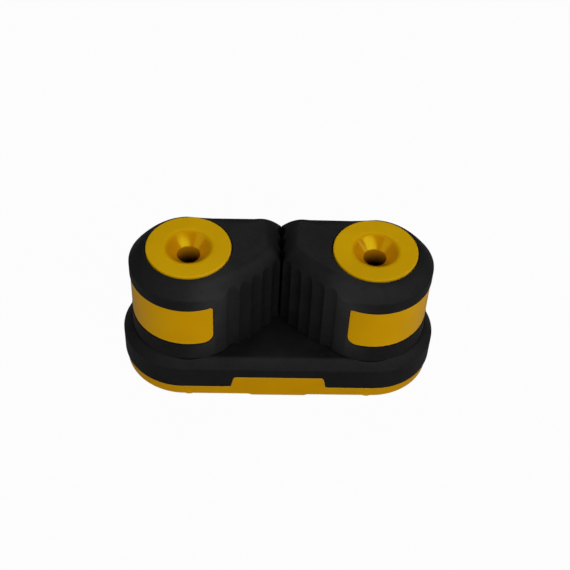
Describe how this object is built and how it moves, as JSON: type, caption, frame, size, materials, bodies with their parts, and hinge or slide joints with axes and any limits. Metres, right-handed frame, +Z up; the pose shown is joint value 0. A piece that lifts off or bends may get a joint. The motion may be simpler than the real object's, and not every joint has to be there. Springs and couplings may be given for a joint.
{
  "type": "cam cleat",
  "caption": "Rope cam cleat: two spring-closed toothed cams on ball bearings over an oblong base, with flanged caps that take the mounting screws.",
  "frame": {"origin": "centre of the underside of the base, midway between the two screw holes, on the deck plane", "axes": "+X from the left cam's axis to the right cam's, +Z up from the deck along both cam axes, +Y the way the rope is pulled in; its load pulls towards -Y"},
  "size_m": [0.0666, 0.0262, 0.0318],
  "materials": {
    "black_plastic": "fine moulded texture, matte, slightly burnished on edges",
    "yellow_plastic": "semi-gloss moulded yellow",
    "steel": "turned and drawn stainless steel",
    "white_plastic": "satin low-friction plastic",
    "ball_plastic": "polished bearing balls"
  },
  "bodies": {
    "base": {"base_plate": "yellow_plastic", "base_shell": "black_plastic", "left_post": "steel", "left_cap": "yellow_plastic", "left_wear_washer": "white_plastic", "left_race_ring": "white_plastic", "left_spring": "steel", "right_post": "steel", "right_cap": "yellow_plastic", "right_wear_washer": "white_plastic", "right_race_ring": "white_plastic", "right_spring": "steel"},
    "left_cam": {"left_cam": "black_plastic", "left_side_band": "yellow_plastic"},
    "right_cam": {"right_cam": "black_plastic", "right_side_band": "yellow_plastic"},
    "left_balls": {"left_ball_lower_01": "ball_plastic", "left_ball_lower_02": "ball_plastic", "left_ball_lower_03": "ball_plastic", "left_ball_lower_04": "ball_plastic", "left_ball_lower_05": "ball_plastic", "left_ball_lower_06": "ball_plastic", "left_ball_lower_07": "ball_plastic", "left_ball_lower_08": "ball_plastic", "left_ball_lower_09": "ball_plastic", "left_ball_lower_10": "ball_plastic", "left_ball_upper_01": "ball_plastic", "left_ball_upper_02": "ball_plastic", "left_ball_upper_03": "ball_plastic", "left_ball_upper_04": "ball_plastic", "left_ball_upper_05": "ball_plastic", "left_ball_upper_06": "ball_plastic", "left_ball_upper_07": "ball_plastic", "left_ball_upper_08": "ball_plastic", "left_ball_upper_09": "ball_plastic", "left_ball_upper_10": "ball_plastic", "left_ball_spacer": "white_plastic"},
    "right_balls": {"right_ball_lower_01": "ball_plastic", "right_ball_lower_02": "ball_plastic", "right_ball_lower_03": "ball_plastic", "right_ball_lower_04": "ball_plastic", "right_ball_lower_05": "ball_plastic", "right_ball_lower_06": "ball_plastic", "right_ball_lower_07": "ball_plastic", "right_ball_lower_08": "ball_plastic", "right_ball_lower_09": "ball_plastic", "right_ball_lower_10": "ball_plastic", "right_ball_upper_01": "ball_plastic", "right_ball_upper_02": "ball_plastic", "right_ball_upper_03": "ball_plastic", "right_ball_upper_04": "ball_plastic", "right_ball_upper_05": "ball_plastic", "right_ball_upper_06": "ball_plastic", "right_ball_upper_07": "ball_plastic", "right_ball_upper_08": "ball_plastic", "right_ball_upper_09": "ball_plastic", "right_ball_upper_10": "ball_plastic", "right_ball_spacer": "white_plastic"}
  },
  "joints": [
    {"name": "left_cam_pivot", "type": "hinge", "parent": "base", "child": "left_cam", "pos_m": [-0.019, 0, 0.0197], "axis": [0, 0, 1], "range_deg": [0, 55], "stiffness_Nm_per_rad": 0.03, "springref_deg": -29.79, "deforming": ["left_spring"]},
    {"name": "right_cam_pivot", "type": "hinge", "parent": "base", "child": "right_cam", "pos_m": [0.019, 0, 0.0197], "axis": [0, 0, -1], "range_deg": [0, 55], "stiffness_Nm_per_rad": 0.03, "springref_deg": -29.79, "deforming": ["right_spring"]},
    {"name": "left_ball_travel", "type": "hinge", "parent": "base", "child": "left_balls", "pos_m": [-0.019, 0, 0.0197], "axis": [0, 0, 1], "range_deg": [0, 36]},
    {"name": "right_ball_travel", "type": "hinge", "parent": "base", "child": "right_balls", "pos_m": [0.019, 0, 0.0197], "axis": [0, 0, -1], "range_deg": [0, 36]}
  ],
  "couplings": [
    {"joint": "left_ball_travel", "follows": "left_cam_pivot", "ratio": 0.6478},
    {"joint": "right_ball_travel", "follows": "right_cam_pivot", "ratio": 0.6478}
  ]
}
